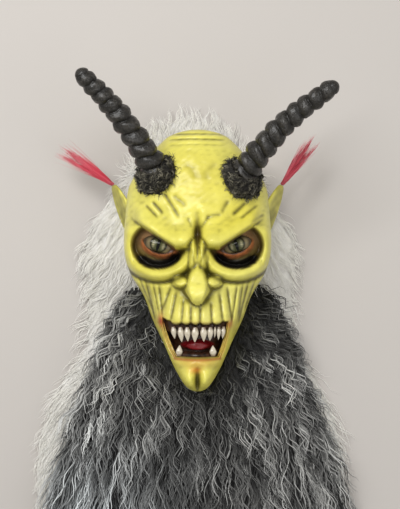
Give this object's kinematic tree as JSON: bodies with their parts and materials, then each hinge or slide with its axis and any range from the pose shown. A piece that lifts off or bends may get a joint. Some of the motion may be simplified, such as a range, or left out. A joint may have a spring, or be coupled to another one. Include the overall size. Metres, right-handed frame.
{
  "type": "horned demon mask",
  "caption": "Full-head demon mask lying on its back: a hollow cast face with a hooked nose, open toothed mouth and pointed ears, ringed horns, a long-haired hood and a fur mantle.",
  "frame": {"origin": "on the flat underside that the mask lies on, straight below the middle of the face at eye level", "axes": "+X towards the side that is on the right as someone looks at the face, +Y towards the crown, +Z the way the face looks, away from the surface that it lies on"},
  "size_m": [0.5284, 0.6966, 0.2231],
  "materials": {
    "face_latex": "satin paint over cast latex",
    "horn_resin": "glossy",
    "dark_fur": "curly fur",
    "red_hair": "stiff hair",
    "eye_gloss": "glossy",
    "tooth_resin": "glossy",
    "white_fur": "long-haired faux fur",
    "grey_fur": "long-haired faux fur"
  },
  "bodies": {
    "root": {"face_shell": "face_latex", "white_fur_hood": "white_fur", "grey_fur_mantle": "grey_fur", "horn_left": "horn_resin", "horn_cuff_left": "dark_fur", "ear_tuft_left": "red_hair", "eye_left": "eye_gloss", "horn_right": "horn_resin", "horn_cuff_right": "dark_fur", "ear_tuft_right": "red_hair", "eye_right": "eye_gloss", "upper_tooth_1": "tooth_resin", "upper_tooth_2": "tooth_resin", "upper_tooth_3": "tooth_resin", "upper_tooth_4": "tooth_resin", "upper_tooth_5": "tooth_resin", "upper_tooth_6": "tooth_resin", "upper_tooth_7": "tooth_resin", "upper_tooth_8": "tooth_resin", "upper_tooth_9": "tooth_resin", "lower_fang_left": "tooth_resin", "lower_fang_right": "tooth_resin"}
  },
  "joints": []
}
